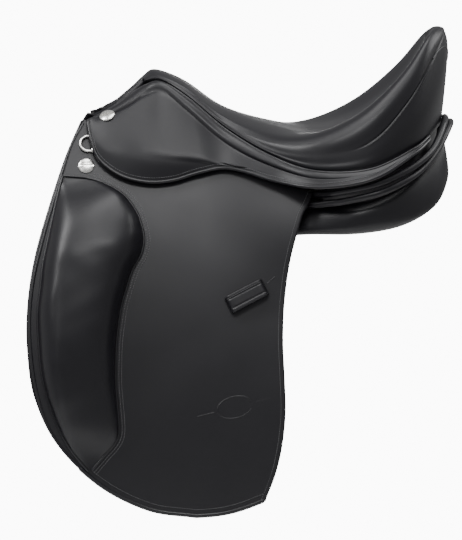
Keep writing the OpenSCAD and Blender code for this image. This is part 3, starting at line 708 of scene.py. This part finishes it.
def build_block(name, side):
    """Knee block: a padded form with a steep front, sewn down along its rear seam."""
    rows, cols = 120, 60
    s = np.linspace(0, 7, rows)
    # Across the block, closer spaced at both edges, where the section is steep.
    t = np.concatenate([[0], 0.5 - 0.5 * np.cos(np.linspace(0.12, math.pi - 0.12, cols - 2)), [1]])
    front, rear = (along(line, s / 7 * (len(line) - 1)) for line in (BLOCK_FRONT, BLOCK_REAR))
    flat = front[:, None] * (1 - t)[None, :, None] + rear[:, None] * t[None, :, None]
    section = np.array(BLOCK_SECTION)
    stations = np.interp(t, along(section, np.linspace(0, 7, 200))[:, 0], np.linspace(0, 7, 200))
    across = along(section, stations)[:, 1]
    # The height rises below the block's top and runs out towards its foot.
    down = s / 7
    lengthways = smooth(down / 0.34) ** 0.8 * (1 - smooth((down - 0.55) / 0.47)) ** 0.9
    height = BLOCK_H * across[None, :] * lengthways[:, None]
    # Small puckers along the rear seam.
    seam = np.exp(-((1 - t) / 0.05) ** 2)[None, :] * 0.5 * np.sin(s * 26)[:, None]
    body, _ = on_flap(flat, height)
    uneven = 0.8 * wobble(body, 70, 2.0) * np.clip(height / 10, 0, 1)
    height = height + uneven + seam * np.clip(height / 6, 0, 1)
    body, _ = on_flap(flat, height + 0.4)
    under, _ = on_flap(flat, 0.1)
    piece = Piece(side)
    m, n = flat.shape[:2]
    index = lambda i, j: i * n + j
    size = m * n
    faces = []
    for i in range(m - 1):
        for j in range(n - 1):
            quad = [index(i, j), index(i, j + 1), index(i + 1, j + 1), index(i + 1, j)]
            faces += [quad, [size + q for q in quad[::-1]]]
    border = []
    for i in range(m - 1):
        border.append((index(i + 1, 0), index(i, 0)))
        border.append((index(i, n - 1), index(i + 1, n - 1)))
    for j in range(n - 1):
        border.append((index(0, j), index(0, j + 1)))
        border.append((index(m - 1, j + 1), index(m - 1, j)))
    faces += [[a, size + a, size + b, b] for a, b in border]
    piece.add(np.vstack([body.reshape(-1, 3), under.reshape(-1, 3)]), faces)
    outline = np.vstack([along(BLOCK_FRONT, np.linspace(len(BLOCK_FRONT) - 1, 0, 200)),
        along(BLOCK_REAR, np.linspace(0, len(BLOCK_REAR) - 1, 300))])
    piece.tube(on_flap(even(outline), 0.8)[0], 1.7, sides=8)
    obj = piece.build("knee_block_leather_" + name, PADDED, sharp=60)
    finished(obj, f"flap_{name}_body", "black_padded_leather", "knee_block_" + name, padded=0.9)


def build_sweat_flap(name, side):
    piece = Piece(side)
    flat = flap_grid(SWEAT_FRONT, SWEAT_REAR, 90, 40)
    # How far it lies inside the flap: more at its top.
    depth = 13.5 + 10 * smooth(flat[..., 1] / 55)
    points, normals = on_flap(flat)
    points = points - np.array([0, 1, 0]) * depth[..., None]
    piece.plate(points, SWEAT_T, normals, flip=True)
    piece.tube(even(points[:, 0] - normals[:, 0] * 1.5), 2.8)
    obj = piece.build("sweat_flap_leather_" + name, LEATHERS)
    finished(obj, "saddle", "black_leather", "sweat_flap_" + name)


def build_keeper(name, side):
    """The leather loop on the flap, with two pressed and stitched lines and its ends tucked in."""
    length, width = KEEPER_SIZE
    place = lambda x, y: turned(x, y, KEEPER_AT, KEEPER_TURN)
    a = np.linspace(-0.5, 0.5, 40)
    b = np.linspace(-0.5, 0.5, 41)
    rise = KEEPER_RISE * (1 - np.abs(2 * a) ** 14) + 0.4
    local_x = a * length
    xx, yy = np.meshgrid(local_x, b * width, indexing="ij")
    pressed = -0.9 * (np.exp(-((b - 0.3) / 0.045) ** 2) + np.exp(-((b + 0.3) / 0.045) ** 2))
    points, normals = on_flap(place(xx, yy), rise[:, None] + pressed[None, :] + 1.6)
    piece = Piece(side)
    shape = grid_normals(points) * -1
    shape = np.where((shape * normals).sum(-1, keepdims=True) < 0, -shape, shape)
    piece.plate(points, 2.4, shape)
    for y in (-width * 0.38, width * 0.38):
        line = place(local_x[3:-3], np.full(34, y))
        piece.stitches(*on_flap(line, rise[3:-3] + 1.6), 2.6, 0.26)
    slit = place(np.array([length / 2 + 5, length / 2 + 15]), np.array([3.5, 6.0]))
    piece.stitches(*on_flap(even(slit, 1.0), 0.3), 2.6, 0.4)
    obj = piece.build("keeper_leather_" + name, LEATHERS)
    finished(obj, f"flap_{name}_body", "black_leather", "keeper_" + name)


# ================================================================ panels and rolls
def build_panel(name, side):
    corners = [PANEL_INNER_TOP, PANEL_OUTER_TOP, PANEL_OUTER_LOW, PANEL_INNER_LOW]
    # How far the top, outer, bottom and inner faces swell at their middles.
    puffs = [3.0, 5.0, 5.0, 7.0]
    rings = []
    for u in np.linspace(0, 8, 25):
        c = [along(k, [u])[0] for k in corners]
        middle = sum(c) / 4
        ring = []
        for k in range(4):
            a, b = c[k], c[(k + 1) % 4]
            halfway = (a + b) / 2
            ring.append(a + unit(a - middle) * 2.0)
            ring.append(halfway + unit(halfway - middle) * puffs[k])
        rings.append(ring)
    rings = np.array(rings)
    count, sides = rings.shape[:2]
    ends = np.stack([rings[0].mean(0), rings[-1].mean(0)])
    first = count * sides
    faces = []
    for i in range(count - 1):
        for j in range(sides):
            q = (j + 1) % sides
            faces.append([(i + 1) * sides + j, (i + 1) * sides + q, i * sides + q, i * sides + j])
    for j in range(sides):
        q = (j + 1) % sides
        faces.append([first, j, q])
        faces.append([first + 1, first - sides + q, first - sides + j])
    piece = Piece(side)
    piece.add(np.vstack([rings.reshape(-1, 3), ends]), faces)
    obj = settled(piece.build("panel_leather_" + name, PADDED), 3)
    finished(obj, "saddle", "black_padded_leather", "panel_" + name, padded=0.7)


def build_roll(name, guide, radius, node):
    """A leather roll round the back of the panels, with a thin piping under it."""
    half = along(guide, np.linspace(0, len(guide) - 1, 110))
    whole = np.vstack([half * (1, -1, 1), half[-2::-1]])
    piece = Piece(1)
    piece.tube(whole, radius, OWN, 18)
    below = whole - np.array([0, 0, radius * 0.92])
    piece.tube(below, 1.2, sides=8)
    obj = piece.build(name, PADDED)
    finished(obj, "saddle", "black_padded_leather", node, padded=0.8)


# ================================================================ CAD nodes that stay
def dress_frame():
    """Materials for the CAD nodes that are shown as they are."""
    looks = {"tree": BEECH, "head_plate": STEEL, "gullet_plate": STEEL, "spring": STEEL, "stirrup_bar": STEEL,
        "catch_pin": STEEL, "catch": STEEL, "tree_rivets": STEEL, "seat_webs": WEB, "girth_webs": WEB,
        "seat_foam": FOAM, "pommel_studs": NICKEL, "flap_studs": NICKEL, "dee": NICKEL, "dee_chape": CALF,
        "front_billet": STRAP, "rear_billet": STRAP, "panel_facing": CALF}
    for node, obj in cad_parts.items():
        plain = node.replace("_left", "").replace("_right", "")
        if plain in looks:
            obj.data.materials.clear()
            obj.data.materials.append(looks[plain])


# ================================================================ studio, in metres
CAMERA_AIM = Vector((-0.0627, 0, -0.0768))
CAMERA_AWAY = 5.0
CAMERA_RISE = math.radians(7)
CAMERA_LENS = 260.4
FLOOR_Z = -0.62
FLOOR_HALF = 0.9


def studio():
    back = Vector((0, -math.cos(CAMERA_RISE), math.sin(CAMERA_RISE)))
    camera = bpy.data.objects.new("camera", bpy.data.cameras.new("camera"))
    camera.data.sensor_width = 36
    camera.data.lens = CAMERA_LENS
    camera.location = CAMERA_AIM + back * CAMERA_AWAY
    camera.rotation_mode = "QUATERNION"
    camera.rotation_quaternion = (-back).to_track_quat("-Z", "Y")
    camera.data.clip_end = 100
    bpy.context.scene.collection.objects.link(camera)
    bpy.context.scene.camera = camera

    floor_mesh = bpy.data.meshes.new("floor")
    corners = [(-1, -1), (1, -1), (1, 1), (-1, 1)]
    floor_mesh.from_pydata([(x * FLOOR_HALF, y * FLOOR_HALF, FLOOR_Z) for x, y in corners],
        [], [(0, 1, 2, 3)])
    floor = bpy.data.objects.new("floor", floor_mesh)
    bpy.context.scene.collection.objects.link(floor)
    paper, tree, bsdf, place = shader("pale_paper", 0.9)
    tree.links.new(ramp(tree, noise(tree, place, 3.0), (0.9, 0.9, 0.9, 1), (0.93, 0.93, 0.93, 1)),
        bsdf.inputs["Base Color"])
    floor_mesh.materials.append(paper)

    def softbox(name, place, aim_at, size, power):
        light = bpy.data.lights.new(name, "AREA")
        light.shape = "RECTANGLE"
        light.size, light.size_y = size
        light.energy = power
        lamp = bpy.data.objects.new(name, light)
        lamp.location = place
        lamp.rotation_mode = "QUATERNION"
        lamp.rotation_quaternion = (Vector(aim_at) - Vector(place)).to_track_quat("-Z", "Y")
        bpy.context.scene.collection.objects.link(lamp)

    # Place, what it is aimed at, width and height, and watts.
    softbox("top", (0.1, -0.1, 2.2), (0, 0, 0), (2.0, 0.8), 29)
    softbox("upper_front", (0.0, -1.9, 2.2), (0, -0.1, 0.1), (1.2, 0.5), 28)
    softbox("front", (-1.6, -2.4, 1.2), (-0.1, 0, -0.05), (0.8, 1.0), 4)
    softbox("left", (-1.75, -0.5, 1.6), (-0.25, -0.15, 0.05), (0.5, 1.4), 38)
    softbox("rear_rim", (1.8, 0.8, 1.4), (0.05, 0, 0.05), (1.2, 1.2), 20)

    world = bpy.data.worlds.new("pale_room")
    world.use_nodes = True
    tree = world.node_tree
    background = tree.nodes["Background"]
    background.inputs["Color"].default_value = (1, 1, 1, 1)
    # The wall behind the saddle is a lit white sheet; the rest of the room is dimmer.
    toward = tree.nodes.new("ShaderNodeVectorMath")
    toward.operation = "DOT_PRODUCT"
    toward.inputs[1].default_value = -back
    tree.links.new(tree.nodes.new("ShaderNodeTexCoord").outputs["Generated"], toward.inputs[0])
    sheet = tree.nodes.new("ShaderNodeMapRange")
    # Cosines of the angles at which the sheet ends and is full, then the strengths off and on it.
    for key, value in {"From Min": 0.984, "From Max": 0.991, "To Min": 0.38, "To Max": 11.0}.items():
        sheet.inputs[key].default_value = value
    tree.links.new(toward.outputs["Value"], sheet.inputs["Value"])
    tree.links.new(sheet.outputs["Result"], background.inputs["Strength"])
    bpy.context.scene.world = world


studio()
build_seat()
build_head_roll()
for side_name, side_sign in SIDES.items():
    build_skirt(side_name, side_sign)
    build_flap(side_name, side_sign)
    build_block(side_name, side_sign)
    build_sweat_flap(side_name, side_sign)
    build_keeper(side_name, side_sign)
    build_panel(side_name, side_sign)
build_roll("upper_roll_leather", UPPER_ROLL, 4.5, "welt_upper")
build_roll("lower_roll_leather", LOWER_ROLL, 4.0, "welt_lower")
dress_frame()
